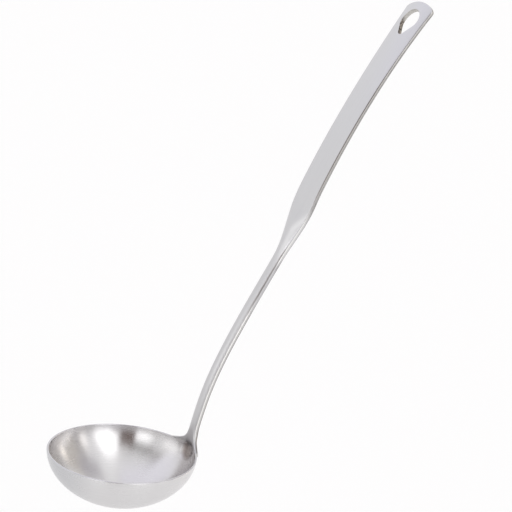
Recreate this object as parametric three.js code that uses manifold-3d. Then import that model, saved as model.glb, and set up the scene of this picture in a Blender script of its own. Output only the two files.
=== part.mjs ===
// A stainless-steel soup ladle: a deep-drawn bowl, a forged handle and the weld between them.
// Millimetres, +Z up. The origin is the centre of the bowl's foot and the handle rises towards +X.
import * as THREE from 'three';
import { mergeGeometries, mergeVertices } from 'three/addons/utils/BufferGeometryUtils.js';
import Module from 'manifold-3d';

// Bowl
const RIM_DIAMETER = 90; // outside
const BOWL_DEPTH = 30.5; // outside, from the foot to the top of the rim
const BOWL_WALL = 1.2;
const FOOT_DIAMETER = 16;
const SIDE_LEANNESS = 1.035; // power of the profile's sine: 1 is an ellipse, more is leaner
const BASE_LEANNESS = 1.074; // power of the profile's cosine

// Root swell: the bowl's wall is drawn out a little under the handle
const SWELL_OUT = 1.4;
const SWELL_WIDTH = 60;
const SWELL_DEPTH = 21;

// Weld
const WELD_HEIGHT = 0.8;

// Handle: lengths from the weld to the tip, along the line that the bar follows
const SHANK_LENGTH = 128;
const NECK_LENGTH = 39;
const GRIP_LENGTH = 141.5;
const FOOT_LENGTH = 8; // over which the foot thickens to the shank
const ARCH_LENGTH = 26; // over which the rim's curve gives way to the shank's arch
const TIP_LENGTH = 5.2; // over which the grip's end is rounded off
// Handle: widths across
const FLARE_WIDTH = 28.5; // at the weld
const SHANK_WIDTH = 7.4; // just above the flare
const NECK_WIDTH = 8.1; // where the neck begins
const GRIP_WIDTH = 21.9; // next to the neck
const TIP_WIDTH = 27.1; // where the rounding of the end begins
const FLARE_REACH = 2.9; // over which the flare falls to about a third
// Handle: thicknesses, and how the long edges are rounded
const FOOT_THICKNESS = 2; // at the weld, so that its back stands proud of the bowl
const SHANK_THICKNESS = 3.4;
const NECK_THICKNESS = 3.4;
const TIP_THICKNESS = 2.9;
const EDGE_RADIUS = 1.3;
// Handle: how far the middle of its front stands out in front of the long edges
const SHANK_ARCH = 1.1;
const GRIP_ARCH = 0.2;
const TIP_ARCH = 1.75;
// Handle: lean from the vertical, in degrees, at the end of each stretch. It leaves the rim upright.
const SHANK_LEAN = 27.6;
const NECK_LEAN = 19;
const GRIP_LEAN = 23.4;
const TIP_LEAN = 33.8;
const SHANK_BEND = 2.9; // power of the shank's bend: more bends it closer to the bowl
const GRIP_BEND_LENGTH = 12; // over which the grip swings from the neck's lean to its own
const GRIP_SPREAD = 3.7; // power of the grip's widening towards the tip
const TIP_TAPER = 1.14; // power of the tip's cosine: 1 is an ellipse, more is more pointed

// Hanging hole: a teardrop whose point looks down to the bowl
const HOLE_RADIUS = 7.4;
const HOLE_POINT_RADIUS = 2.8;
const HOLE_POINT_DISTANCE = 8; // between the centres of the round end and the point
const HOLE_TO_TIP = 13.4; // from the round end's centre to the tip

// Facets
const BOWL_SIDES = 80;
const PROFILE_STEPS = 12;
const FACE_STEPS = 8;
const EDGE_STEPS = 6;
const SECTION_SIDES = 2 * (FACE_STEPS + EDGE_STEPS);
const STRETCH_STEPS = { foot: 8, shank: 18, neck: 14, grip: 22, tip: 10 };
const STEP_LENGTH = 0.5; // for adding up the handle's path
const HOLE_ARC_STEPS = 12;
const LAST_TIP_ANGLE = THREE.MathUtils.degToRad(86);

const rimRadius = RIM_DIAMETER / 2;
const footRadius = FOOT_DIAMETER / 2;
const wallMiddleRadius = rimRadius - BOWL_WALL / 2;
const handleStart = BOWL_DEPTH + WELD_HEIGHT;
const neckEnd = SHANK_LENGTH + NECK_LENGTH;
const handleLength = neckEnd + GRIP_LENGTH;
const tipStart = handleLength - TIP_LENGTH;

const wasm = await Module();
wasm.setup();

function steel(name, roughness) {
  return new THREE.MeshStandardMaterial({ name, color: 0xc8c7cb, metalness: 1, roughness });
}

function welded(geometry) {
  geometry.deleteAttribute('normal');
  geometry.deleteAttribute('uv');
  return mergeVertices(geometry, 1e-4);
}

function toManifold(geometry) {
  const closed = welded(geometry);
  const vertProperties = new Float32Array(closed.attributes.position.array);
  const triVerts = new Uint32Array(closed.index.array);
  return new wasm.Manifold(new wasm.Mesh({ numProp: 3, vertProperties, triVerts }));
}

function fromManifold(solid) {
  const mesh = solid.getMesh();
  const geometry = new THREE.BufferGeometry();
  geometry.setAttribute('position', new THREE.BufferAttribute(mesh.vertProperties, 3));
  geometry.setIndex(new THREE.BufferAttribute(mesh.triVerts, 1));
  return geometry;
}

function namedMesh(name, geometry, material) {
  const mesh = new THREE.Mesh(geometry, material);
  mesh.name = name;
  mesh.geometry.computeVertexNormals();
  return mesh;
}

function share(distance, start, length) {
  return THREE.MathUtils.clamp((distance - start) / length, 0, 1);
}

function eased(distance, start, length) {
  return THREE.MathUtils.smoothstep(distance, start, start + length);
}

// How far the rim is drawn out at a distance to the side of the handle's middle
function swellAt(across) {
  return SWELL_OUT * (1 - share(Math.abs(across), 0, SWELL_WIDTH / 2) ** 2) ** 2;
}

// The middle of the rim's wall, as a distance out along +X
function rimMiddleAt(across) {
  return Math.sqrt(Math.max(wallMiddleRadius ** 2 - across ** 2, 0)) + swellAt(across);
}

// Bowl: the outside follows a lean half-ellipse from the flat foot up to an upright rim, and the
// inside lies one wall further in.
function bowlProfile() {
  const footAngle = Math.asin((footRadius / rimRadius) ** (1 / SIDE_LEANNESS));
  const curveDepth = BOWL_DEPTH / Math.cos(footAngle) ** BASE_LEANNESS;
  const outsideAt = (angle) => new THREE.Vector2(
    rimRadius * Math.sin(angle) ** SIDE_LEANNESS,
    BOWL_DEPTH - curveDepth * Math.max(Math.cos(angle), 0) ** BASE_LEANNESS,
  );
  const outside = [];
  const inside = [];
  const nudge = 1e-3;
  for (let step = 0; step <= PROFILE_STEPS; step += 1) {
    const angle = footAngle + (Math.PI / 2 - footAngle) * (step / PROFILE_STEPS);
    const point = outsideAt(angle);
    const along = outsideAt(angle + nudge).sub(outsideAt(angle - nudge)).normalize();
    outside.push(point);
    inside.unshift(new THREE.Vector2(point.x - along.y * BOWL_WALL, point.y + along.x * BOWL_WALL));
  }
  outside[PROFILE_STEPS].set(rimRadius, BOWL_DEPTH);
  inside[0].set(rimRadius - BOWL_WALL, BOWL_DEPTH);
  inside[PROFILE_STEPS].y = BOWL_WALL;
  return [new THREE.Vector2(0, 0), ...outside, ...inside, new THREE.Vector2(0, BOWL_WALL)];
}

function makeBowl() {
  const lathe = new THREE.LatheGeometry(bowlProfile(), BOWL_SIDES);
  lathe.rotateX(Math.PI / 2);
  const points = lathe.attributes.position;
  for (let i = 0; i < points.count; i += 1) {
    const raised = eased(points.getZ(i), BOWL_DEPTH - SWELL_DEPTH, SWELL_DEPTH);
    if (points.getX(i) > 0) {
      points.setX(i, points.getX(i) + swellAt(points.getY(i)) * raised);
    }
  }
  return namedMesh('bowl', fromManifold(toManifold(lathe)), steel('bowl_steel', 0.34));
}

// Handle: how it leans, and how its section changes, at a distance from the weld
function leanAt(distance) {
  const shank = SHANK_LEAN * (1 - (1 - share(distance, 0, SHANK_LENGTH)) ** SHANK_BEND);
  const neck = (NECK_LEAN - SHANK_LEAN) * eased(distance, SHANK_LENGTH, NECK_LENGTH);
  const grip = (GRIP_LEAN - NECK_LEAN) * eased(distance, neckEnd, GRIP_BEND_LENGTH);
  const bendEnd = neckEnd + GRIP_BEND_LENGTH;
  const tip = (TIP_LEAN - GRIP_LEAN) * share(distance, bendEnd, handleLength - bendEnd);
  return THREE.MathUtils.degToRad(shank + neck + grip + tip);
}

function sectionAt(distance) {
  const neck = eased(distance, SHANK_LENGTH, NECK_LENGTH);
  const grip = share(distance, neckEnd, tipStart - neckEnd);
  const shankWidth = SHANK_WIDTH + (NECK_WIDTH - SHANK_WIDTH) * share(distance, 0, SHANK_LENGTH);
  const flare = (FLARE_WIDTH - SHANK_WIDTH) * Math.exp(-distance / FLARE_REACH);
  const spread = (TIP_WIDTH - GRIP_WIDTH) * grip ** GRIP_SPREAD;
  const fullWidth = shankWidth + flare + (GRIP_WIDTH - NECK_WIDTH) * neck + spread;
  const tipAngle = Math.asin(share(distance, tipStart, TIP_LENGTH));
  const halfWidth = (fullWidth / 2) * Math.cos(tipAngle) ** TIP_TAPER;
  const thickness = FOOT_THICKNESS + (SHANK_THICKNESS - FOOT_THICKNESS) * eased(distance, 0, FOOT_LENGTH)
    + (NECK_THICKNESS - SHANK_THICKNESS) * neck + (TIP_THICKNESS - NECK_THICKNESS) * grip;
  const archHeight = SHANK_ARCH + (GRIP_ARCH - SHANK_ARCH) * neck + (TIP_ARCH - GRIP_ARCH) * grip ** 2;
  return {
    halfWidth,
    halfThickness: thickness / 2,
    edge: Math.min(EDGE_RADIUS, thickness / 2, halfWidth / 2),
    arch: archHeight / (fullWidth / 2) ** 2,
    arched: eased(distance, 0, ARCH_LENGTH),
  };
}

// The line that the bar follows lies in the XZ plane, half a bowl wall behind the bar's front, so that
// the front runs on from the bowl's inside. It is added up from the lean in short steps. A frame's own
// X runs across the bar, its Y to the front and its Z up the bar.
function framesAt(distances) {
  const place = new THREE.Vector3(rimMiddleAt(0), 0, handleStart);
  let reached = 0;
  return distances.map((distance) => {
    const steps = Math.ceil((distance - reached) / STEP_LENGTH);
    for (let step = 0; step < steps; step += 1) {
      const length = (distance - reached) / steps;
      const lean = leanAt(reached + (step + 0.5) * length);
      place.x += length * Math.sin(lean);
      place.z += length * Math.cos(lean);
    }
    reached = distance;
    const lean = leanAt(distance);
    const across = new THREE.Vector3(0, 1, 0);
    const front = new THREE.Vector3(-Math.cos(lean), 0, Math.sin(lean));
    const up = new THREE.Vector3(Math.sin(lean), 0, Math.cos(lean));
    return new THREE.Matrix4().makeBasis(across, front, up).setPosition(place);
  });
}

// Distances that divide a stretch: a crowding of 2 sets them closer together at its start
function stretch(start, length, steps, crowding = 1) {
  return Array.from({ length: steps }, (_, step) => start + length * (step / steps) ** crowding);
}

function handleDistances() {
  const tip = Array.from({ length: STRETCH_STEPS.tip + 1 }, (_, step) => (
    tipStart + TIP_LENGTH * Math.sin((LAST_TIP_ANGLE * step) / STRETCH_STEPS.tip)
  ));
  return [
    ...stretch(0, FOOT_LENGTH, STRETCH_STEPS.foot, 2),
    ...stretch(FOOT_LENGTH, SHANK_LENGTH - FOOT_LENGTH, STRETCH_STEPS.shank),
    ...stretch(SHANK_LENGTH, NECK_LENGTH, STRETCH_STEPS.neck),
    ...stretch(neckEnd, tipStart - neckEnd, STRETCH_STEPS.grip),
    ...tip,
  ];
}

// A point on a flat bar's section with rounded edges, counted round from the middle of the front
// towards -Y. The second half of the round is the first half turned about the bar's middle. The foot's
// section is bent to the rim's curve, and further up the section's arch takes over.
function sectionPoint(index, { halfWidth, halfThickness, edge, arch, arched }) {
  const halfRound = SECTION_SIDES / 2;
  const turned = index % SECTION_SIDES >= halfRound ? -1 : 1;
  const step = index % halfRound;
  const flat = halfWidth - edge;
  const edgeStart = FACE_STEPS / 2;
  const edgeEnd = edgeStart + EDGE_STEPS;
  let across = -flat * (step / edgeStart);
  let out = halfThickness;
  if (step > edgeStart && step < edgeEnd) {
    const angle = Math.PI * (0.5 - (step - edgeStart) / EDGE_STEPS);
    const side = Math.sign(Math.round(Math.sin(angle) * 1e6));
    across = -(flat + edge * Math.cos(angle));
    out = side * (halfThickness - edge) + edge * Math.sin(angle);
  }
  if (step >= edgeEnd) {
    across = -flat * (1 - (step - edgeEnd) / edgeStart);
    out = -halfThickness;
  }
  const setBack = halfThickness - BOWL_WALL / 2;
  const rimCurve = rimMiddleAt(0) - rimMiddleAt(across);
  const bend = (1 - arched) * rimCurve - arched * arch * across ** 2;
  return { across: turned * across, out: turned * out - setBack + bend };
}

// A bar through a row of sections: an open cylinder whose rings are moved to the sections' places, with
// the outlines of the end sections as caps
function barThrough(frames, sections) {
  const rows = frames.length - 1;
  const bar = new THREE.CylinderGeometry(1, 1, 1, SECTION_SIDES, rows, true);
  const points = bar.attributes.position;
  const corner = new THREE.Vector3();
  for (let i = 0; i < points.count; i += 1) {
    corner.fromBufferAttribute(points, i);
    const row = Math.round((corner.y + 0.5) * rows);
    const turn = Math.atan2(corner.x, corner.z) / (2 * Math.PI);
    const index = Math.round((turn + 1) * SECTION_SIDES) % SECTION_SIDES;
    const { across, out } = sectionPoint(index, sections[row]);
    corner.set(across, out, 0).applyMatrix4(frames[row]);
    points.setXYZ(i, corner.x, corner.y, corner.z);
  }
  const top = capOn(frames[rows], sections[rows]);
  const bottom = capOn(frames[0], sections[0]);
  bottom.setIndex([...bottom.index.array].reverse());
  return mergeGeometries([bar, top, bottom]);
}

function capOn(frame, section) {
  const corners = Array.from({ length: SECTION_SIDES }, (_, index) => {
    const { across, out } = sectionPoint(index, section);
    return new THREE.Vector2(across, out);
  });
  return new THREE.ShapeGeometry(new THREE.Shape(corners)).applyMatrix4(frame);
}

function makeHangingHole() {
  const [frame] = framesAt([handleLength - HOLE_TO_TIP]);
  const spread = Math.asin((HOLE_RADIUS - HOLE_POINT_RADIUS) / HOLE_POINT_DISTANCE);
  const left = Math.PI + spread;
  const right = 2 * Math.PI - spread;
  const outline = new THREE.Shape();
  outline.absarc(0, 0, HOLE_RADIUS, -spread, left, false);
  outline.absarc(0, -HOLE_POINT_DISTANCE, HOLE_POINT_RADIUS, left, right, false);
  const depth = TIP_WIDTH;
  const settings = { depth, bevelEnabled: false, curveSegments: HOLE_ARC_STEPS };
  const punch = new THREE.ExtrudeGeometry(outline, settings);
  punch.translate(0, 0, -depth / 2);
  punch.rotateX(Math.PI / 2);
  return punch.applyMatrix4(frame);
}

function makeHandle() {
  const distances = handleDistances();
  const bar = barThrough(framesAt(distances), distances.map(sectionAt));
  const punched = toManifold(bar).subtract(toManifold(makeHangingHole()));
  return namedMesh('handle', fromManifold(punched), steel('handle_steel', 0.3));
}

// Root weld: the bead carries the foot's flare down to the rim.
function makeRootWeld() {
  const [top] = framesAt([0]);
  const bottom = top.clone().setPosition(rimMiddleAt(0), 0, BOWL_DEPTH);
  const bead = barThrough([bottom, top], [sectionAt(-WELD_HEIGHT), sectionAt(0)]);
  return namedMesh('root_weld', fromManifold(toManifold(bead)), steel('weld_steel', 0.38));
}

const ladle = new THREE.Group();
ladle.add(makeBowl(), makeRootWeld(), makeHandle());

export default ladle;
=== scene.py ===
import math

import bmesh
import bpy
from mathutils import Matrix, Vector


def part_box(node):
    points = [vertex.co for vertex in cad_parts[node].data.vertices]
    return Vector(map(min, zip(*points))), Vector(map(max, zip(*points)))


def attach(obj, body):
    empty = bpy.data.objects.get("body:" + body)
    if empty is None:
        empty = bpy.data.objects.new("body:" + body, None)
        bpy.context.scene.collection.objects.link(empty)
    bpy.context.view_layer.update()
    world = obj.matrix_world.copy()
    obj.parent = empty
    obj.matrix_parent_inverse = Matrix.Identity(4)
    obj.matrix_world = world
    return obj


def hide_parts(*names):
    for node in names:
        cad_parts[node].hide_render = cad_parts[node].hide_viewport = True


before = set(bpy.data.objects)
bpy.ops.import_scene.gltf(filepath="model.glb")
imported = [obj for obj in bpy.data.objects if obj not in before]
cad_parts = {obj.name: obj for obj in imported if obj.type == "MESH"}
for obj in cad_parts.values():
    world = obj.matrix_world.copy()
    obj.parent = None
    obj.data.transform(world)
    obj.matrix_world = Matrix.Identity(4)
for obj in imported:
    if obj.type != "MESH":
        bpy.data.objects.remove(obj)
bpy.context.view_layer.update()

MM = 0.001
QUARTER_TURN = math.pi / 2

# Bowl: its radius and depth are the solid's
BOWL_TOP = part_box("bowl")[1]
RIM_RADIUS = BOWL_TOP.y
BOWL_DEPTH = BOWL_TOP.z
BOWL_WALL = 1.2 * MM
FOOT_RADIUS = 8 * MM
FOOT_EDGE = 0.3 * MM
SIDE_LEANNESS = 1.035
BASE_LEANNESS = 1.074
# Bowl: its lip is round, and square where the weld sits on it
LIP_HEIGHT = 0.35 * MM
LIP_SQUARENESS = 0.6
WELDED_SQUARENESS = 0.04
WELDED_REACH = 18 * MM
WELDED_FADE = 4 * MM
# Bowl: its wall is drawn out a little under the handle
SWELL_OUT = 1.4 * MM
SWELL_WIDTH = 60 * MM
SWELL_DEPTH = 21 * MM

# Scoop: an oval ground into the root, half in the bowl's wall and half in the handle's foot
SCOOP_OUT = 1.3 * MM
SCOOP_HALF_WIDTH = 7.2 * MM
SCOOP_HALF_HEIGHT = 7.5 * MM
SCOOP_DROP = 2.2 * MM
SCOOP_SLOPE = 0.75

# Weld
WELD_HEIGHT = 0.8 * MM

# Handle: lengths from the weld to the tip, along the line that the bar follows
SHANK_LENGTH = 128 * MM
NECK_LENGTH = 39 * MM
GRIP_LENGTH = 141.5 * MM
FOOT_LENGTH = 8 * MM
ARCH_LENGTH = 26 * MM
GRIP_BEND_LENGTH = 12 * MM
TIP_LENGTH = 5.2 * MM
# Handle: widths across
FLARE_WIDTH = 28.5 * MM
SHANK_WIDTH = 7.4 * MM
NECK_WIDTH = 8.1 * MM
GRIP_WIDTH = 21.9 * MM
TIP_WIDTH = 27.1 * MM
FLARE_REACH = 2.9 * MM
# Handle: thicknesses, and how the long edges are rounded
FOOT_THICKNESS = 2 * MM
SHANK_THICKNESS = 3.4 * MM
NECK_THICKNESS = 3.4 * MM
TIP_THICKNESS = 2.9 * MM
EDGE_RADIUS = 1.3 * MM
GRIP_FRONT_EDGE = 0.7 * MM
GRIP_BACK_EDGE = 1.9 * MM
# Handle: how far the middle of its front stands out, and how steeply the neck's front falls to its edges
SHANK_ARCH = 1.1 * MM
GRIP_ARCH = 0.2 * MM
TIP_ARCH = 1.75 * MM
CROWN_SLOPE = 0.66
CROWN_RISE = 12 * MM
CROWN_FALL = 22 * MM
# Handle: lean from the upright, in degrees, at the end of each stretch
SHANK_LEAN = 27.6
NECK_LEAN = 19
GRIP_LEAN = 23.4
TIP_LEAN = 33.8
# Handle: powers in the rules that bend the shank, widen the grip and round the tip
SHANK_BEND = 2.9
GRIP_SPREAD = 3.7
TIP_TAPER = 1.14
# Handle: steps of the line that the bar follows, with a few past the tip
LINE_STEP = 0.4 * MM
SPARE_STEPS = 5

# Hanging hole
HOLE_RADIUS = 7.4 * MM
HOLE_POINT_RADIUS = 2.8 * MM
HOLE_POINT_DISTANCE = 8 * MM
HOLE_TO_TIP = 13.4 * MM
HOLE_LIP = 0.3 * MM
PUNCH_OVERSHOOT = 1 * MM

# Camera: at the photograph's angle, 0.9 m from the bowl. The lens and the sensor are in millimetres.
CAMERA_AZIMUTH = math.radians(31)
CAMERA_ELEVATION = math.radians(15.013)
CAMERA_ROLL = math.radians(7.032)
CAMERA_DISTANCE = 901.8 * MM
CAMERA_ASIDE = 80.7 * MM
CAMERA_ABOVE = 118.1 * MM
CAMERA_LENS = 105.38
CAMERA_SENSOR = 36

# What follows from these sizes
WALL_MIDDLE = RIM_RADIUS - BOWL_WALL / 2
ROOT_OUT = WALL_MIDDLE + SWELL_OUT
NECK_END = SHANK_LENGTH + NECK_LENGTH
HANDLE_LENGTH = NECK_END + GRIP_LENGTH
TIP_START = HANDLE_LENGTH - TIP_LENGTH
BEND_END = NECK_END + GRIP_BEND_LENGTH
HOLE_DISTANCE = HANDLE_LENGTH - HOLE_TO_TIP


# A value in a node tree. Arithmetic on fields adds Math nodes, so that a rule reads as a formula.
class Field:
    def __init__(self, tree, socket):
        self.tree = tree
        self.socket = socket

    def math(self, operation, *others):
        node = self.tree.nodes.new("ShaderNodeMath")
        node.operation = operation
        for socket, value in zip(node.inputs, (self, *others)):
            plug(self.tree, value, socket)
        return Field(self.tree, node.outputs[0])

    def ramp(self, kind, start, length):
        node = self.tree.nodes.new("ShaderNodeMapRange")
        node.interpolation_type = kind
        plug(self.tree, self, node.inputs["Value"])
        plug(self.tree, start, node.inputs["From Min"])
        plug(self.tree, start + length, node.inputs["From Max"])
        return Field(self.tree, node.outputs["Result"])

    # Rises from 0 to 1 over a length, evenly or with soft ends
    def share(self, start, length):
        return self.ramp("LINEAR", start, length)

    def eased(self, start, length):
        return self.ramp("SMOOTHSTEP", start, length)

    # Rises softly to 1 over one length, and falls back to 0 over another
    def between(self, start, rise, end, fall):
        return self.eased(start, rise) - self.eased(end, fall)

    def sine(self):
        return self.math("SINE")

    def cosine(self):
        return self.math("COSINE")

    def root(self):
        return self.math("SQRT")

    def size(self):
        return self.math("ABSOLUTE")

    def sign(self):
        return self.math("SIGN")

    def at_least(self, other):
        return self.math("MAXIMUM", other)

    def at_most(self, other):
        return self.math("MINIMUM", other)

    def __add__(self, other):
        return self.math("ADD", other)

    def __radd__(self, other):
        return self.math("ADD", other)

    def __sub__(self, other):
        return self.math("SUBTRACT", other)

    def __rsub__(self, other):
        return (self * -1).math("ADD", other)

    def __mul__(self, other):
        return self.math("MULTIPLY", other)

    def __truediv__(self, other):
        return self.math("DIVIDE", other)

    def __pow__(self, other):
        return self.math("POWER", other)


def plug(tree, value, socket):
    if isinstance(value, Field):
        tree.links.new(value.socket, socket)
    else:
        socket.default_value = value


def vector(tree, x, y, z):
    node = tree.nodes.new("ShaderNodeCombineXYZ")
    for socket, value in zip(node.inputs, (x, y, z)):
        plug(tree, value, socket)
    return Field(tree, node.outputs[0])


def parts_of(tree, field):
    node = tree.nodes.new("ShaderNodeSeparateXYZ")
    plug(tree, field, node.inputs[0])
    return [Field(tree, socket) for socket in node.outputs]


SOCKET_KINDS = {
    int: "NodeSocketInt",
    float: "NodeSocketFloat",
    bpy.types.Object: "NodeSocketObject",
    bpy.types.Material: "NodeSocketMaterial",
}


# A geometry tree with a named input for each size
def shape_tree(name, sizes):
    tree = bpy.data.node_groups.new(name, "GeometryNodeTree")
    for label, value in sizes.items():
        tree.interface.new_socket(label, in_out="INPUT", socket_type=SOCKET_KINDS[type(value)])
    tree.interface.new_socket("Geometry", in_out="OUTPUT", socket_type="NodeSocketGeometry")
    entry = tree.nodes.new("NodeGroupInput")
    inputs = {label: Field(tree, entry.outputs[label]) for label in sizes}
    return tree, inputs


def geometry_node(tree, kind, **values):
    node = tree.nodes.new(kind)
    for label, value in values.items():
        plug(tree, value, node.inputs[label.replace("_", " ")])
    return node


# A sheet of quads, with fields that count its rows and tell the share of the way round
def sheet_of_quads(tree, rows, sides):
    grid = geometry_node(tree, "GeometryNodeMeshGrid", Size_X=1.0, Size_Y=1.0)
    plug(tree, rows + 1, grid.inputs["Vertices X"])
    plug(tree, sides + 1, grid.inputs["Vertices Y"])
    place = Field(tree, tree.nodes.new("GeometryNodeInputPosition").outputs[0])
    along, around, _ = parts_of(tree, place)
    row = (along + 0.5) * rows
    return Field(tree, grid.outputs["Mesh"]), row, around + 0.5


SEAM_WIDTH = 0.002 * MM


# Moves a sheet's points to their places and joins the points that meet at its seam and its ends
def closed_shape(tree, sheet, place):
    moved = geometry_node(tree, "GeometryNodeSetPosition", Geometry=sheet, Position=place)
    joined = geometry_node(tree, "GeometryNodeMergeByDistance", Distance=SEAM_WIDTH)
    tree.links.new(moved.outputs[0], joined.inputs["Geometry"])
    return Field(tree, joined.outputs[0])


# Ends a tree as real faces in one material, with another on the faces that an attribute marks
def finish_shape(tree, shape, material, marked="", marked_material=None):
    last = geometry_node(tree, "GeometryNodeRealizeInstances", Geometry=shape)
    last = set_material(tree, last, material)
    if marked:
        last = set_material(tree, last, marked_material, marked)
    output = tree.nodes.new("NodeGroupOutput")
    tree.links.new(last.outputs[0], output.inputs["Geometry"])


def set_material(tree, before, material, marked=""):
    node = geometry_node(tree, "GeometryNodeSetMaterial", Material=material)
    tree.links.new(before.outputs[0], node.inputs["Geometry"])
    if marked:
        chosen = tree.nodes.new("GeometryNodeInputNamedAttribute")
        chosen.data_type = "BOOLEAN"
        chosen.inputs["Name"].default_value = marked
        tree.links.new(chosen.outputs["Attribute"], node.inputs["Selection"])
    return node


def store(tree, shape, name, value, kind="FLOAT", domain="POINT"):
    node = tree.nodes.new("GeometryNodeStoreNamedAttribute")
    node.data_type = kind
    node.domain = domain
    plug(tree, shape, node.inputs["Geometry"])
    plug(tree, name, node.inputs["Name"])
    plug(tree, value, node.inputs["Value"])
    return Field(tree, node.outputs[0])


# Runs a shape tree and keeps what it makes as a plain mesh in the solid model's frame
def piece_from(name, tree, sizes):
    draft = bpy.data.objects.new(name + "_draft", bpy.data.meshes.new(name + "_draft"))
    bpy.context.scene.collection.objects.link(draft)
    modifier = draft.modifiers.new("shape", "NODES")
    modifier.node_group = tree
    for item in tree.interface.items_tree:
        if item.in_out == "INPUT":
            modifier[item.identifier] = sizes[item.name]
    depsgraph = bpy.context.evaluated_depsgraph_get()
    mesh = bpy.data.meshes.new_from_object(draft.evaluated_get(depsgraph), depsgraph=depsgraph)
    bpy.data.objects.remove(draft)
    if mesh.materials and mesh.materials[0] is None:
        mesh.materials.pop(index=0)
    mesh.name = name
    piece = bpy.data.objects.new(name, mesh)
    bpy.context.scene.collection.objects.link(piece)
    return piece


SHARP_ANGLE = math.radians(35)
SHORTEST_EDGE = 1e-7


def shade_smooth(piece):
    shape = bmesh.new()
    shape.from_mesh(piece.data)
    bmesh.ops.dissolve_degenerate(shape, dist=SHORTEST_EDGE, edges=shape.edges)
    bmesh.ops.recalc_face_normals(shape, faces=shape.faces)
    shape.to_mesh(piece.data)
    shape.free()
    piece.data.shade_smooth()
    piece.data.set_sharp_from_angle(angle=SHARP_ANGLE)


# How far the wall is drawn out towards the handle, at a distance to the side of its middle
def swell_at(across):
    near = 1 - across.size().share(0, SWELL_WIDTH / 2) ** 2
    return near ** 2 * SWELL_OUT


# How deep the scoop is, as a share: its border is crisper on the front than on the back, and it fades
# upwards into the handle's foot
def scoop_at(across, below, front):
    reach = ((across / SCOOP_HALF_WIDTH) ** 2 + (below / SCOOP_HALF_HEIGHT) ** 2).root()
    inward = (1 - reach).share(0, SCOOP_SLOPE) * below.eased(-SCOOP_HALF_HEIGHT, SCOOP_HALF_HEIGHT)
    crisp = inward * (2 - inward)
    soft = inward.eased(0, 1)
    return crisp * front + soft * (1 - front)


BOWL_SIZES = {
    "Rim Radius": RIM_RADIUS,
    "Depth": BOWL_DEPTH,
    "Wall": BOWL_WALL,
    "Lip Height": LIP_HEIGHT,
    "Wall Rows": 90,
    "Lip Rows": 13,
    "Sides": 420,
}
ROOT_CROWDING = 0.5
LEAST_SINE = 1e-4


# Bowl: one line from the middle of the foot, up the outside, over the lip and down the inside, turned
# round the upright axis. The sides stand closer together under the handle.
def bowl_tree(steel):
    sizes = {**BOWL_SIZES, "Steel": steel}
    tree, size = shape_tree("turned_bowl", sizes)
    wall_rows = size["Wall Rows"]
    lip_rows = size["Lip Rows"]
    sheet, row, around = sheet_of_quads(tree, wall_rows * 2 + lip_rows, size["Sides"])
    turn = around * 2 - 1
    angle = (turn * ROOT_CROWDING + turn * turn * turn * (1 - ROOT_CROWDING)) * -math.pi

    foot_angle = math.asin((FOOT_RADIUS / RIM_RADIUS) ** (1 / SIDE_LEANNESS))
    curve_depth = size["Depth"] * (1 / math.cos(foot_angle) ** BASE_LEANNESS)
    top_angle = ((size["Lip Height"] / curve_depth) ** (1 / BASE_LEANNESS)).math("ARCCOSINE")
    lift = (row.share(0, wall_rows) - row.share(wall_rows + lip_rows, wall_rows)) * top_angle
    sine = lift.sine().at_least(LEAST_SINE)
    cosine = lift.cosine().at_least(LEAST_SINE)
    radius = lift.sine().at_least(0) ** SIDE_LEANNESS * size["Rim Radius"]
    height = size["Depth"] - cosine ** BASE_LEANNESS * curve_depth
    run = sine ** (SIDE_LEANNESS - 1) * cosine * size["Rim Radius"] * SIDE_LEANNESS
    rise = cosine ** (BASE_LEANNESS - 1) * sine * curve_depth * BASE_LEANNESS
    slope = (run * run + rise * rise).root()

    lip = row.share(wall_rows, lip_rows) * math.pi
    aside = (angle.sine() * size["Rim Radius"]).size()
    ahead = angle.cosine().math("GREATER_THAN", 0.0)
    welded = (1 - aside.eased(WELDED_REACH, WELDED_FADE)) * ahead
    squareness = welded * (WELDED_SQUARENESS - LIP_SQUARENESS) + LIP_SQUARENESS
    side = lip.cosine().sign() * lip.cosine().size() ** squareness
    raised = lip.sine().at_least(0) ** squareness * size["Lip Height"]
    front = (1 - side) * 0.5
    inward = front * size["Wall"]
    radius = radius - inward * rise / slope
    height = height + inward * run / slope
    height = height.math("SMOOTH_MAX", inward, FOOT_EDGE) + raised * row.math("GREATER_THAN", wall_rows)

    out = radius * angle.cosine()
    across = radius * angle.sine()
    swell = swell_at(across) * height.eased(BOWL_DEPTH - SWELL_DEPTH, SWELL_DEPTH)
    scoop = scoop_at(across, BOWL_DEPTH - SCOOP_DROP - height, front) * ahead
    place = vector(tree, out + swell * ahead + scoop * SCOOP_OUT, across, height)
    sheet = store(tree, sheet, "scoop", scoop * front)
    sheet = store(tree, sheet, "outside", 1 - front)
    finish_shape(tree, closed_shape(tree, sheet, place), size["Steel"])
    return tree, sizes


# How far the handle's line leans from the upright, at a distance from the weld
def lean_at(distance):
    bent = 1 - (1 - clamped_share(distance, 0, SHANK_LENGTH)) ** SHANK_BEND
    shank = SHANK_LEAN * bent
    neck = (NECK_LEAN - SHANK_LEAN) * smooth_share(distance, SHANK_LENGTH, NECK_LENGTH)
    grip = (GRIP_LEAN - NECK_LEAN) * smooth_share(distance, NECK_END, GRIP_BEND_LENGTH)
    tip = (TIP_LEAN - GRIP_LEAN) * clamped_share(distance, BEND_END, HANDLE_LENGTH - BEND_END)
    return math.radians(shank + neck + grip + tip)


def clamped_share(distance, start, length):
    return min(max((distance - start) / length, 0), 1)


def smooth_share(distance, start, length):
    part = clamped_share(distance, start, length)
    return part * part * (3 - 2 * part)


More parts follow.
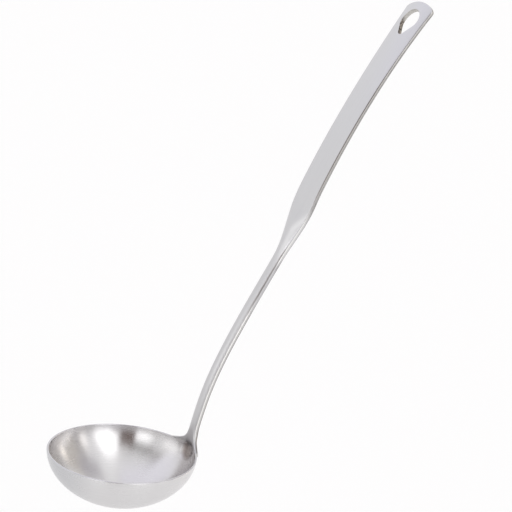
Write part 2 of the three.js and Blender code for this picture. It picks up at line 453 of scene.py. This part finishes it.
# The points of the line that the bar follows, from the rim to a little past the tip, and its lean at each
def bar_steps():
    place = Vector((ROOT_OUT, 0, BOWL_DEPTH))
    for index in range(steps_to(HANDLE_LENGTH) + SPARE_STEPS + 1):
        lean = lean_at((index + 0.5) * LINE_STEP - WELD_HEIGHT)
        yield place.copy(), lean
        place += LINE_STEP * Vector((math.sin(lean), 0, math.cos(lean)))


def steps_to(distance):
    return round((distance + WELD_HEIGHT) / LINE_STEP)


def bar_line():
    places = [place for place, _ in bar_steps()]
    curve = bpy.data.curves.new("bar_line", "CURVE")
    curve.dimensions = "3D"
    line = curve.splines.new("POLY")
    line.points.add(len(places) - 1)
    for point, place in zip(line.points, places):
        point.co = (*place, 1)
    guide = bpy.data.objects.new("bar_line", curve)
    bpy.context.scene.collection.objects.link(guide)
    return guide


# The bar's section at a distance from the weld, as fields
class Section:
    def __init__(self, distance):
        neck = distance.eased(SHANK_LENGTH, NECK_LENGTH)
        grip = distance.share(NECK_END, TIP_START - NECK_END)
        shank = distance.share(0, SHANK_LENGTH) * (NECK_WIDTH - SHANK_WIDTH) + SHANK_WIDTH
        flare = (distance / -FLARE_REACH).math("EXPONENT") * (FLARE_WIDTH - SHANK_WIDTH)
        spread = grip ** GRIP_SPREAD * (TIP_WIDTH - GRIP_WIDTH)
        self.half_width = (shank + flare + neck * (GRIP_WIDTH - NECK_WIDTH) + spread) * 0.5
        thick = distance.eased(0, FOOT_LENGTH) * (SHANK_THICKNESS - FOOT_THICKNESS) + FOOT_THICKNESS
        thick = thick + neck * (NECK_THICKNESS - SHANK_THICKNESS) + grip * (TIP_THICKNESS - NECK_THICKNESS)
        self.half_thickness = thick * 0.5
        edge = self.half_thickness.at_most(EDGE_RADIUS)
        self.front_edge = edge * (1 - neck) + neck * GRIP_FRONT_EDGE
        self.back_edge = edge * (1 - neck) + neck * GRIP_BACK_EDGE
        arch = neck * (GRIP_ARCH - SHANK_ARCH) + grip ** 2 * (TIP_ARCH - GRIP_ARCH) + SHANK_ARCH
        self.arch = arch / (self.half_width * self.half_width)
        crown_start = SHANK_LENGTH - CROWN_RISE / 2
        crowned = distance.between(crown_start, CROWN_RISE, NECK_END - CROWN_FALL, CROWN_FALL)
        self.crown = (self.half_width * CROWN_SLOPE * 0.5 - arch).at_least(0) * crowned
        self.arched = distance.eased(0, ARCH_LENGTH)
        self.scoop_below = (distance + WELD_HEIGHT + SCOOP_DROP) * -1

    # How far a point of the section stands in front of the bar's line
    def out_at(self, level, across, front):
        rim_curve = ROOT_OUT - (WALL_MIDDLE ** 2 - across * across).at_least(0).root() - swell_at(across)
        bend = (1 - self.arched) * rim_curve - self.arched * self.arch * across * across
        scoop = self.scoop_at(across, front) * SCOOP_OUT
        crown = (1 - (across / self.half_width) ** 2) * self.crown * front
        return level - self.half_thickness + BOWL_WALL / 2 + bend - scoop + crown

    def scoop_at(self, across, front):
        return scoop_at(across, self.scoop_below, front)


# A place on the bar: so far along its line, across it and out to its front
def bar_place(tree, line, distance, across, out):
    guide = geometry_node(tree, "GeometryNodeObjectInfo", Object=line)
    sample = tree.nodes.new("GeometryNodeSampleCurve")
    sample.mode = "LENGTH"
    tree.links.new(guide.outputs["Geometry"], sample.inputs["Curves"])
    plug(tree, distance + WELD_HEIGHT, sample.inputs["Length"])
    x, _, z = parts_of(tree, Field(tree, sample.outputs["Position"]))
    ahead, _, up = parts_of(tree, Field(tree, sample.outputs["Tangent"]))
    return vector(tree, x - up * out, across, z + ahead * out)


FACE_STEPS = 36
CORNER_STEPS = 9
SIDE_STEPS = 2
EDGE_STEPS = 2 * CORNER_STEPS + SIDE_STEPS
FACE_SHARE = FACE_STEPS / (FACE_STEPS + EDGE_STEPS) / 2
EDGE_SHARE = 0.5 - FACE_SHARE
CORNER_SHARE = CORNER_STEPS / EDGE_STEPS
SIDE_SHARE = SIDE_STEPS / EDGE_STEPS
BAR_SIZES = {
    "Start": 0.0,
    "End": TIP_START,
    "Tip Length": TIP_LENGTH,
    "Body Rows": 260,
    "Tip Rows": 28,
    "Sides": 2 * (FACE_STEPS + EDGE_STEPS),
    "Crowding": 1.5,
    "Round Tip": 1.0,
}


# Forged bar: sections along the bar's line. Each runs along the front, round one long edge, along the
# back and round the other. The sections fold to a point at the round tip, and to a flat cap elsewhere.
def bar_tree(name, sizes):
    tree, size = shape_tree(name, sizes)
    body_rows = size["Body Rows"]
    tip_rows = size["Tip Rows"]
    last_row = body_rows + tip_rows + 1
    sheet, row, around = sheet_of_quads(tree, last_row + 1, size["Sides"])
    front = around.share(0, FACE_SHARE)
    left = around.share(FACE_SHARE, EDGE_SHARE)
    back = around.share(0.5, FACE_SHARE)
    right = around.share(0.5 + FACE_SHARE, EDGE_SHARE)

    body = row.share(1.0, body_rows) ** size["Crowding"] * (size["End"] - size["Start"]) + size["Start"]
    section = Section(body)
    corners = corner_turn(left) - corner_turn(right)
    corner_angle = (1 - corners) * QUARTER_TURN
    side = 1 - (left.share(CORNER_SHARE, SIDE_SHARE) - right.share(CORNER_SHARE, SIDE_SHARE)) * 2
    edge = section.front_edge * (1 + side) * 0.5 + section.back_edge * (1 - side) * 0.5
    inset = edge * (1 - corner_angle.cosine())
    tip_angle = row.share(body_rows + 1, tip_rows) * size["Round Tip"] * QUARTER_TURN
    narrowing = tip_angle.cosine().at_least(0) ** TIP_TAPER
    across = (front * 2 - back * 2 - 1) * (section.half_width - inset) * narrowing
    distance = body + (size["Tip Length"] - inset) * tip_angle.sine()
    solid = row.share(0, 1) * (1 - row.share(last_row, 1) * (1 - size["Round Tip"]))
    level = (section.half_thickness - edge) * side + edge * corner_angle.sine()
    facing_front = (1 - corners) * 0.5 * solid + 0.5
    out = section.out_at(level * solid, across, facing_front)
    place = bar_place(tree, size["Bar Line"], distance, across, out)

    corner = (corner_angle.sine() * corner_angle.cosine() * 2).size()
    sheet = mark_sides(tree, sheet, body, 1 - facing_front, corner)
    sheet = store(tree, sheet, "scoop", section.scoop_at(across, facing_front) * facing_front)
    return tree, size, closed_shape(tree, sheet, place)


# Turns through the first corner of an edge and then through the second
def corner_turn(edge):
    return edge.share(0, CORNER_SHARE) + edge.share(1 - CORNER_SHARE, CORNER_SHARE)


# Where the handle gets painted shade, painted highlights and painted dark lines
# Stretches along the handle: start and length of the rise, then start and length of the fall
UPPER_SHANK = (84 * MM, 16 * MM, SHANK_LENGTH - 12 * MM, 14 * MM)
SHANK_SHINE = (4 * MM, 10 * MM, 80 * MM, 25 * MM)
NECK_SHINE = (SHANK_LENGTH - 6 * MM, 10 * MM, NECK_END - 14 * MM, 14 * MM)
# Bands round the section in the same terms, from 0 on the front to 0.5 on the sides and 1 on the back
SHADE_BAND = (0.25, 0.15, 0.6, 0.2)
HIGHLIGHT_BAND = (0.27, 0.1, 0.42, 0.14)
SOFT_BAND = (0.02, 0.1, 0.33, 0.1)
BACK_LINE = (0.45, 0.08, 0.6, 0.2)
# The painted dark line along the front edge ends on the side, and it fades out before the tip
FRONT_LINE_END = 0.4
FRONT_LINE_FADE = 0.1
LINED_TO_TIP = 70 * MM
LINED_FADE = 45 * MM
# Share of the painted front line on the upper shank, and share of the painted back line lost there and on
# the neck
UPPER_SHANK_LINE = 0.4
BACK_LINE_BREAK = 0.7


# Marks where the handle's long edges and narrow sides get painted shade, a painted highlight or a soft
# finish, and their painted dark lines
def mark_sides(tree, sheet, body, behind, corner):
    grip = body.eased(SHANK_LENGTH + NECK_LENGTH / 2, NECK_LENGTH)
    upper_shank = body.between(*UPPER_SHANK)
    shank_shine = body.between(*SHANK_SHINE)
    neck_shine = body.between(*NECK_SHINE)
    short_of_tip = 1 - body.eased(HANDLE_LENGTH - LINED_TO_TIP, LINED_FADE)
    lined = grip * short_of_tip + upper_shank * UPPER_SHANK_LINE
    front_line = corner * (1 - behind.eased(FRONT_LINE_END, FRONT_LINE_FADE)) * lined
    back_line = behind.between(*BACK_LINE) * (1 - grip - upper_shank * BACK_LINE_BREAK)
    back_line = back_line * (1 - neck_shine * BACK_LINE_BREAK)
    sheet = store(tree, sheet, "painted_shade_side", behind.between(*SHADE_BAND) * grip)
    sheet = store(tree, sheet, "painted_shade_line", front_line + back_line)
    sheet = store(tree, sheet, "painted_highlight_side", behind.between(*HIGHLIGHT_BAND) * (shank_shine + neck_shine))
    return store(tree, sheet, "soft_side", behind.between(*SOFT_BAND) * shank_shine)


PUNCH_ROWS = 12
PUNCH_SIDES = 120
PUNCH_MIDDLE = PUNCH_ROWS / 2
LIP_ROWS = 3
LIP_TURN = math.radians(70)
ROUND_END_SHARE = 0.45
RUN_SHARE = 0.15
POINT_SHARE = 1 - ROUND_END_SHARE - 2 * RUN_SHARE


# The punch for the hanging hole: a teardrop whose point looks down to the bowl, widened at both faces
# of the bar so that it leaves rounded lips
def punch_shape(tree, line):
    sheet, row, around = sheet_of_quads(tree, PUNCH_ROWS, PUNCH_SIDES)
    spread = math.asin((HOLE_RADIUS - HOLE_POINT_RADIUS) / HOLE_POINT_DISTANCE)
    round_end = around.share(0, ROUND_END_SHARE)
    down = around.share(ROUND_END_SHARE, RUN_SHARE)
    point = around.share(ROUND_END_SHARE + RUN_SHARE, POINT_SHARE)
    up = around.share(1 - RUN_SHARE, RUN_SHARE)
    facing = round_end * (math.pi + 2 * spread) + point * (math.pi - 2 * spread) - spread
    slide = down - up
    lip_angle = (row.share(PUNCH_MIDDLE + 1, LIP_ROWS) + row.share(2, LIP_ROWS) - 1) * LIP_TURN
    from_middle = (row - PUNCH_MIDDLE).size()
    beyond = from_middle.share(PUNCH_MIDDLE - 2, 1)
    wide = 1 - from_middle.share(PUNCH_MIDDLE - 1, 1)
    radius = slide * (HOLE_POINT_RADIUS - HOLE_RADIUS) + HOLE_RADIUS
    radius = radius + (1 - lip_angle.cosine()) * HOLE_LIP
    across = radius * facing.cosine() * wide
    along = (radius * facing.sine() - slide * HOLE_POINT_DISTANCE) * wide
    distance = along + HOLE_DISTANCE
    section = Section(distance)
    face = (row - PUNCH_MIDDLE).sign()
    level = (section.half_thickness - HOLE_LIP + beyond * PUNCH_OVERSHOOT) * face
    level = level + lip_angle.sine() * HOLE_LIP
    out = section.out_at(level, across, 1.0)
    place = bar_place(tree, line, distance, across, out)
    sheet = store(tree, sheet, "punched", True, "BOOLEAN", "FACE")
    return closed_shape(tree, sheet, place)


def handle_tree(line, steel, punched_steel):
    sizes = {**BAR_SIZES, "Bar Line": line, "Steel": steel, "Punched Steel": punched_steel}
    tree, size, bar = bar_tree("forged_handle", sizes)
    cut = tree.nodes.new("GeometryNodeMeshBoolean")
    cut.operation = "DIFFERENCE"
    cut.solver = "EXACT"
    plug(tree, bar, cut.inputs["Mesh 1"])
    plug(tree, punch_shape(tree, size["Bar Line"]), cut.inputs["Mesh 2"])
    shape = Field(tree, cut.outputs["Mesh"])
    finish_shape(tree, shape, size["Steel"], "punched", size["Punched Steel"])
    return tree, sizes


BEAD_SIZES = {
    "Start": -WELD_HEIGHT,
    "End": 0.0,
    "Body Rows": 6,
    "Tip Rows": 1,
    "Crowding": 1.0,
    "Round Tip": 0.0,
}


# Weld: a slice of the bar between the rim and the handle's foot, with flat caps
def weld_tree(line, steel):
    sizes = {**BAR_SIZES, **BEAD_SIZES, "Bar Line": line, "Steel": steel}
    tree, size, bar = bar_tree("root_weld", sizes)
    finish_shape(tree, bar, size["Steel"])
    return tree, sizes


# Materials
def object_place(tree):
    coordinates = tree.nodes.new("ShaderNodeTexCoord")
    return Field(tree, coordinates.outputs["Object"])


def noise(tree, place, scale, detail):
    node = tree.nodes.new("ShaderNodeTexNoise")
    plug(tree, place, node.inputs["Vector"])
    node.inputs["Scale"].default_value = scale
    node.inputs["Detail"].default_value = detail
    return Field(tree, node.outputs[0])


def colour_between(tree, factor, first, second):
    node = tree.nodes.new("ShaderNodeMix")
    node.data_type = "RGBA"
    colours = [socket for socket in node.inputs if socket.type == "RGBA"]
    plug(tree, factor, node.inputs[0])
    for socket, colour in zip(colours, (first, second)):
        plug(tree, colour if isinstance(colour, Field) else (*colour, 1), socket)
    return Field(tree, [socket for socket in node.outputs if socket.type == "RGBA"][0])


def bumps(tree, height, strength, distance):
    node = tree.nodes.new("ShaderNodeBump")
    node.inputs["Strength"].default_value = strength
    node.inputs["Distance"].default_value = distance
    plug(tree, height, node.inputs["Height"])
    return Field(tree, node.outputs[0])


def mark(tree, name):
    node = tree.nodes.new("ShaderNodeAttribute")
    node.attribute_name = name
    return Field(tree, node.outputs["Fac"])


def steel_shader(name, anisotropy):
    material = bpy.data.materials.new(name)
    material.use_nodes = True
    tree = material.node_tree
    shader = tree.nodes["Principled BSDF"]
    shader.inputs["Metallic"].default_value = 1
    shader.inputs["Anisotropic"].default_value = anisotropy
    return material, tree, shader


def finish_steel(tree, shader, colour, roughness, relief):
    plug(tree, colour, shader.inputs["Base Color"])
    plug(tree, roughness, shader.inputs["Roughness"])
    plug(tree, relief, shader.inputs["Normal"])


# Noises: cells to the metre, and layers of finer ones. A brushing is scaled before its noise is taken.
BRUSHING = (1, 3)
BOWL_CLOUDS = (60, 2)
HANDLE_CLOUDS = (40, 2)
WELD_GRAIN = (1500, 3)
HOLE_GRAIN = (900, 4)

# Scoop: colours of the painted shade in the hollow at the root, and how it rings and fades
SCOOP_SHADES = ((0.24, 0.21, 0.2), (0.37, 0.33, 0.315))
SCOOP_SHADE_EDGE = 0.8
SCOOP_RINGS = 14
SCOOP_RING_DEPTH = 0.3
SCOOP_LIGHT_SIDE = -9 * MM
SCOOP_LIGHT_FADE = 16 * MM


# The scoop's colour holds painted shade: a dark brown tint in rings, less so upwards and towards -Y
def with_scoop_shade(tree, place, colour):
    scoop = mark(tree, "scoop")
    _, y, z = parts_of(tree, place)
    rings = (scoop * SCOOP_RINGS).sine() * 0.5 + 0.5
    scoop_shade_colour = colour_between(tree, rings * SCOOP_RING_DEPTH, *SCOOP_SHADES)
    shaded = (y - z + BOWL_DEPTH).eased(SCOOP_LIGHT_SIDE, SCOOP_LIGHT_FADE)
    return colour_between(tree, scoop.eased(0, SCOOP_SHADE_EDGE) * shaded, colour, scoop_shade_colour)


BOWL_STEEL = ((0.66, 0.65, 0.655), (0.74, 0.73, 0.735))
BOWL_ANISOTROPY = 0.85
BOWL_ROUGHNESS = 0.22
RINGS_TO_THE_METRE = 2500
RING_BREAKS = 2
RING_ROUGHNESS = 0.06
CLOUD_ROUGHNESS = 0.06
RING_STRENGTH = 0.04
RING_DEPTH = 0.02 * MM
LIP_STEEL = (0.62, 0.61, 0.63)
LIP_BAND = 0.5 * MM
LIP_FADE = 0.4 * MM
LIP_POLISH = 0.1
# Painted shade: a dark reflection painted inside and beside the root, under a slanting line
ROOT_SHADE = (0.33, 0.3, 0.305)
ROOT_SHADE_STRENGTH = 0.6
ROOT_SHADE_START = 22 * MM
ROOT_SHADE_RISE = 16 * MM
ROOT_SHADE_LEVEL = 17 * MM
ROOT_SHADE_SLANT = 0.75
ROOT_SHADE_BORDER = -4 * MM
ROOT_SHADE_BORDER_FADE = 9 * MM
ROOT_SHADE_BELOW_LIP = 1 * MM
# Painted reflection: a cooler, darker tone outside, on the side away from the handle
FAR_SHADE = (0.56, 0.56, 0.575)
FAR_SHADE_TURN = 0.5
FAR_SHADE_START = 0.2
FAR_SHADE_RISE = 0.7


# Turned steel: rings of brushing round the bowl
def turned_steel():
    material, tree, shader = steel_shader("turned_steel", BOWL_ANISOTROPY)
    place = object_place(tree)
    x, y, z = parts_of(tree, place)
    radius = (x * x + y * y).root().at_least(MM)
    line = (radius + z) * RINGS_TO_THE_METRE
    ring = vector(tree, x / radius * RING_BREAKS, y / radius * RING_BREAKS, line)
    brushing = noise(tree, ring, *BRUSHING)
    cloud = noise(tree, place, *BOWL_CLOUDS)
    outside = mark(tree, "outside")
    lip = z.eased(BOWL_DEPTH - LIP_BAND, LIP_FADE)
    colour = colour_between(tree, brushing, *BOWL_STEEL)
    colour = colour_between(tree, lip, colour, LIP_STEEL)
    # Painted shade inside and beside the root
    under_line = ((z - ROOT_SHADE_LEVEL) * ROOT_SHADE_SLANT - y).eased(ROOT_SHADE_BORDER, ROOT_SHADE_BORDER_FADE)
    inside = (BOWL_DEPTH - z - outside * BOWL_DEPTH).eased(0, ROOT_SHADE_BELOW_LIP)
    root_shaded = x.eased(ROOT_SHADE_START, ROOT_SHADE_RISE) * under_line * inside
    colour = colour_between(tree, root_shaded * ROOT_SHADE_STRENGTH, colour, ROOT_SHADE)
    # Painted reflection outside, on the side away from the handle
    far_side = ((y * FAR_SHADE_TURN - x) / RIM_RADIUS).eased(FAR_SHADE_START, FAR_SHADE_RISE)
    colour = colour_between(tree, far_side * outside, colour, FAR_SHADE)
    colour = with_scoop_shade(tree, place, colour)
    roughness = brushing * RING_ROUGHNESS + cloud * CLOUD_ROUGHNESS + BOWL_ROUGHNESS - lip * LIP_POLISH
    finish_steel(tree, shader, colour, roughness, bumps(tree, brushing, RING_STRENGTH, RING_DEPTH))
    meridian = vector(tree, x * -1 / radius, y * -1 / radius, -1.0)
    plug(tree, meridian, shader.inputs["Tangent"])
    return material


# Handle: painted shade that leaves the shank darker, paling towards the tip
SHADED_SHANK_STEEL = ((0.52, 0.515, 0.525), (0.585, 0.58, 0.59))
GRIP_STEEL = ((0.61, 0.61, 0.625), (0.69, 0.69, 0.705))
PALING_START = 40 * MM
PALING_LENGTH = 270 * MM
SIDE_SHADE = (0.46, 0.445, 0.43)
LINE_SHADE_COLOUR = (0.16, 0.14, 0.13)
LINE_SHADE = 0.85
SIDE_HIGHLIGHT = (0.93, 0.92, 0.9)
# Highlights are drawn out across the streaks, a quarter of a turn away from them
HANDLE_ANISOTROPY = 0.4
HIGHLIGHT_TURN = 0.25
STREAK_LEAN = math.radians(24.8)
STREAKS_ACROSS = 3000
STREAKS_ALONG = 30
HANDLE_ROUGHNESS = 0.26
STREAK_ROUGHNESS = 0.08
HAZE_ROUGHNESS = 0.05
BRIGHT_POLISH = 0.12
SOFT_ROUGHNESS = 0.26
STREAK_STRENGTH = 0.15
STREAK_DEPTH = 0.015 * MM


# Satin steel: streaks along the handle, with painted shade that leaves the shank darker and pales towards
# the tip, and painted shade, painted highlights and painted dark lines on its edges and sides
def satin_steel():
    material, tree, shader = steel_shader("satin_steel", HANDLE_ANISOTROPY)
    place = object_place(tree)
    x, y, z = parts_of(tree, place)
    streaks = vector(tree, x * STREAKS_ALONG, y * STREAKS_ACROSS, z * STREAKS_ALONG)
    brushing = noise(tree, streaks, *BRUSHING)
    cloud = noise(tree, place, *HANDLE_CLOUDS)
    painted_highlight_side = mark(tree, "painted_highlight_side")
    shank = colour_between(tree, brushing, *SHADED_SHANK_STEEL)
    grip = colour_between(tree, brushing, *GRIP_STEEL)
    # Painted shade: darker on the shank, paler towards the tip
    colour = colour_between(tree, z.share(PALING_START, PALING_LENGTH), shank, grip)
    # Painted shade, painted dark lines and painted highlights on the edges and sides
    colour = colour_between(tree, mark(tree, "painted_shade_side"), colour, SIDE_SHADE)
    colour = colour_between(tree, mark(tree, "painted_shade_line") * LINE_SHADE, colour, LINE_SHADE_COLOUR)
    colour = colour_between(tree, painted_highlight_side, colour, SIDE_HIGHLIGHT)
    colour = with_scoop_shade(tree, place, colour)
    roughness = brushing * STREAK_ROUGHNESS + cloud * HAZE_ROUGHNESS + HANDLE_ROUGHNESS
    roughness = roughness - painted_highlight_side * BRIGHT_POLISH + mark(tree, "soft_side") * SOFT_ROUGHNESS
    finish_steel(tree, shader, colour, roughness, bumps(tree, brushing, STREAK_STRENGTH, STREAK_DEPTH))
    upwards = vector(tree, math.sin(STREAK_LEAN), 0.0, math.cos(STREAK_LEAN))
    plug(tree, upwards, shader.inputs["Tangent"])
    shader.inputs["Anisotropic Rotation"].default_value = HIGHLIGHT_TURN
    return material


WELD_STEEL = ((0.56, 0.55, 0.545), (0.7, 0.69, 0.685))
WELD_ROUGHNESS = 0.26
WELD_GRAIN_ROUGHNESS = 0.12
WELD_GRAIN_STRENGTH = 0.2
WELD_GRAIN_DEPTH = 0.02 * MM


# Ground steel: the fine grain of the weld
def ground_steel():
    material, tree, shader = steel_shader("ground_steel", 0)
    place = object_place(tree)
    grain = noise(tree, place, *WELD_GRAIN)
    colour = with_scoop_shade(tree, place, colour_between(tree, grain, *WELD_STEEL))
    roughness = grain * WELD_GRAIN_ROUGHNESS + WELD_ROUGHNESS
    finish_steel(tree, shader, colour, roughness, bumps(tree, grain, WELD_GRAIN_STRENGTH, WELD_GRAIN_DEPTH))
    return material


TORN_STEEL = ((0.07, 0.06, 0.055), (0.4, 0.37, 0.34))
TEAR_START = 0.35
TEAR_RISE = 0.3
SHEARED_STEEL = ((0.4, 0.39, 0.37), (0.75, 0.73, 0.7))
CLEAN_START = -3 * MM
CLEAN_RISE = 6 * MM
HOLE_ROUGHNESS = 0.3
HOLE_GRAIN_ROUGHNESS = 0.3
HOLE_GRAIN_STRENGTH = 0.6
HOLE_GRAIN_DEPTH = 0.15 * MM


# Punched steel: dark and torn towards the teardrop's point, cleaner round its upper end
def punched_steel():
    material, tree, shader = steel_shader("punched_steel", 0)
    place = object_place(tree)
    x, _, z = parts_of(tree, place)
    grain = noise(tree, place, *HOLE_GRAIN)
    middle, lean = list(bar_steps())[steps_to(HOLE_DISTANCE)]
    along = (x - middle.x) * math.sin(lean) + (z - middle.z) * math.cos(lean)
    torn = colour_between(tree, grain.eased(TEAR_START, TEAR_RISE), *TORN_STEEL)
    sheared = colour_between(tree, grain, *SHEARED_STEEL)
    colour = colour_between(tree, along.eased(CLEAN_START, CLEAN_RISE), torn, sheared)
    roughness = grain * HOLE_GRAIN_ROUGHNESS + HOLE_ROUGHNESS
    finish_steel(tree, shader, colour, roughness, bumps(tree, grain, HOLE_GRAIN_STRENGTH, HOLE_GRAIN_DEPTH))
    return material


def add_piece(name, node, slot, tree, sizes):
    piece = piece_from(name, tree, sizes)
    shade_smooth(piece)
    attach(piece, "root")
    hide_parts(node)


def dress_ladle():
    line = bar_line()
    add_piece("ladle_bowl", "bowl", "bowl_steel", *bowl_tree(turned_steel()))
    add_piece("ladle_weld", "root_weld", "weld_steel", *weld_tree(line, ground_steel()))
    add_piece("ladle_handle", "handle", "handle_steel", *handle_tree(line, satin_steel(), punched_steel()))
    bpy.data.objects.remove(line)


# 1 for the rays that are named, 0 for all others
def rays(tree, *names):
    path = tree.nodes.new("ShaderNodeLightPath")
    first, *others = [Field(tree, path.outputs[name]) for name in names]
    return sum(others, first).at_most(1)


FLOOR_WHITE = (0.98, 0.98, 0.975, 1)
FLOOR_ROUGHNESS = 0.9
FLOOR_GLOW = 0.5
FLOOR_DROP = 250 * MM
FLOOR_REACH = 6


# White floor: half of what the camera and the steel see of it is plain white, and the rest takes shadows
def white_floor():
    material = bpy.data.materials.new("white_floor")
    material.use_nodes = True
    tree = material.node_tree
    shader = tree.nodes["Principled BSDF"]
    shader.inputs["Base Color"].default_value = FLOOR_WHITE
    shader.inputs["Roughness"].default_value = FLOOR_ROUGHNESS
    shader.inputs["Specular IOR Level"].default_value = 0
    white = tree.nodes.new("ShaderNodeEmission")
    blend = tree.nodes.new("ShaderNodeMixShader")
    seen = rays(tree, "Is Camera Ray", "Is Glossy Ray", "Is Transmission Ray")
    plug(tree, seen * FLOOR_GLOW, blend.inputs[0])
    tree.links.new(shader.outputs[0], blend.inputs[1])
    tree.links.new(white.outputs[0], blend.inputs[2])
    tree.links.new(blend.outputs[0], tree.nodes["Material Output"].inputs["Surface"])
    return material


# The ladle hangs in the photograph, so the floor lies well below it
def add_floor():
    mesh = bpy.data.meshes.new("studio_floor")
    signs = [(-1, -1), (1, -1), (1, 1), (-1, 1)]
    corners = [(x * FLOOR_REACH, y * FLOOR_REACH, 0) for x, y in signs]
    mesh.from_pydata(corners, [], [(0, 1, 2, 3)])
    floor = bpy.data.objects.new("studio_floor", mesh)
    floor.location.z = -FLOOR_DROP
    bpy.context.scene.collection.objects.link(floor)
    mesh.materials.append(white_floor())


# The sky of a white studio, with soft panels of light and shade. A panel has a bearing round the ladle,
# counted in degrees from the handle's side towards +Y, and heights above the horizon in degrees. A later
# panel hangs in front of an earlier one.
class Studio:
    def __init__(self, tree, wall):
        self.tree = tree
        coordinates = tree.nodes.new("ShaderNodeTexCoord")
        x, y, z = parts_of(tree, Field(tree, coordinates.outputs["Generated"]))
        self.bearing = y.math("ARCTAN2", x) * math.degrees(1)
        self.height = z.math("ARCSINE") * math.degrees(1)
        self.sky = wall

    def hang(self, bearing, half_width, lowest, highest, edge, colour):
        away = (self.bearing - bearing).math("WRAP", 180.0, -180.0).size()
        beside = 1 - away.eased(half_width - edge / 2, edge)
        above = self.height.eased(lowest - edge / 2, edge)
        below = 1 - self.height.eased(highest - edge / 2, edge)
        self.sky = colour_between(self.tree, beside * above * below, self.sky, colour)


STUDIO_WALL = (1, 0.995, 1)
BACKDROP = (0.985, 0.985, 0.985)


def light_studio():
    world = bpy.data.worlds.new("white_studio")
    bpy.context.scene.world = world
    world.use_nodes = True
    tree = world.node_tree
    studio = Studio(tree, STUDIO_WALL)
    # A cool panel high up behind the ladle
    studio.hang(bearing=110, half_width=45, lowest=29, highest=100, edge=6, colour=(1.04, 1.03, 1.1))
    # Greys and warm lights on the handle's side
    studio.hang(bearing=352, half_width=32, lowest=8, highest=45, edge=8, colour=(0.72, 0.68, 0.63))
    studio.hang(bearing=5, half_width=28, lowest=42, highest=66, edge=4, colour=(0.56, 0.54, 0.57))
    studio.hang(bearing=352, half_width=22, lowest=-40, highest=7, edge=8, colour=(2.5, 2.3, 2.05))
    studio.hang(bearing=4, half_width=6, lowest=5, highest=21, edge=5, colour=(2.1, 1.95, 1.75))
    studio.hang(bearing=314, half_width=5, lowest=-40, highest=35, edge=5, colour=(1.8, 1.75, 1.7))
    # Dark panels over the far side
    studio.hang(bearing=171, half_width=17, lowest=38, highest=53, edge=5, colour=(0.28, 0.26, 0.25))
    studio.hang(bearing=208, half_width=22, lowest=36, highest=54, edge=7, colour=(0.08, 0.07, 0.06))
    # White lights on the far side and in front
    studio.hang(bearing=212, half_width=13, lowest=-40, highest=25, edge=11, colour=(2.2, 2.2, 2.2))
    studio.hang(bearing=164, half_width=16, lowest=8, highest=21, edge=7, colour=(1.55, 1.54, 1.52))
    studio.hang(bearing=274, half_width=18, lowest=-40, highest=66, edge=14, colour=(2.1, 2.1, 2.1))
    # Dark panels round the camera, between two of the lights
    studio.hang(bearing=237, half_width=13, lowest=-40, highest=48, edge=6, colour=(0.12, 0.07, 0.055))
    studio.hang(bearing=256, half_width=8, lowest=-40, highest=10, edge=7, colour=(0.2, 0.15, 0.13))
    seen = rays(tree, "Is Camera Ray")
    plug(tree, colour_between(tree, seen, studio.sky, BACKDROP), tree.nodes["Background"].inputs["Color"])


# The camera looks against `back`. The middle of the bowl's mouth lies off the centre of its picture.
def add_camera():
    right = Vector((math.cos(CAMERA_AZIMUTH), -math.sin(CAMERA_AZIMUTH), 0))
    level = Vector((-math.sin(CAMERA_AZIMUTH), -math.cos(CAMERA_AZIMUTH), 0))
    back = level * math.cos(CAMERA_ELEVATION) + Vector((0, 0, math.sin(CAMERA_ELEVATION)))
    up = back.cross(right)
    roll = Matrix.Rotation(CAMERA_ROLL, 3, back)
    right = roll @ right
    up = roll @ up
    mouth = Vector((0, 0, BOWL_DEPTH))
    place = mouth + right * CAMERA_ASIDE + up * CAMERA_ABOVE + back * CAMERA_DISTANCE
    data = bpy.data.cameras.new("camera")
    data.lens = CAMERA_LENS
    data.sensor_width = CAMERA_SENSOR
    camera = bpy.data.objects.new("camera", data)
    turn = Matrix((right, up, back)).transposed().to_4x4()
    camera.matrix_world = Matrix.Translation(place) @ turn
    bpy.context.scene.collection.objects.link(camera)
    bpy.context.scene.camera = camera


dress_ladle()
add_floor()
light_studio()
add_camera()
bpy.context.scene.view_settings.view_transform = "Standard"
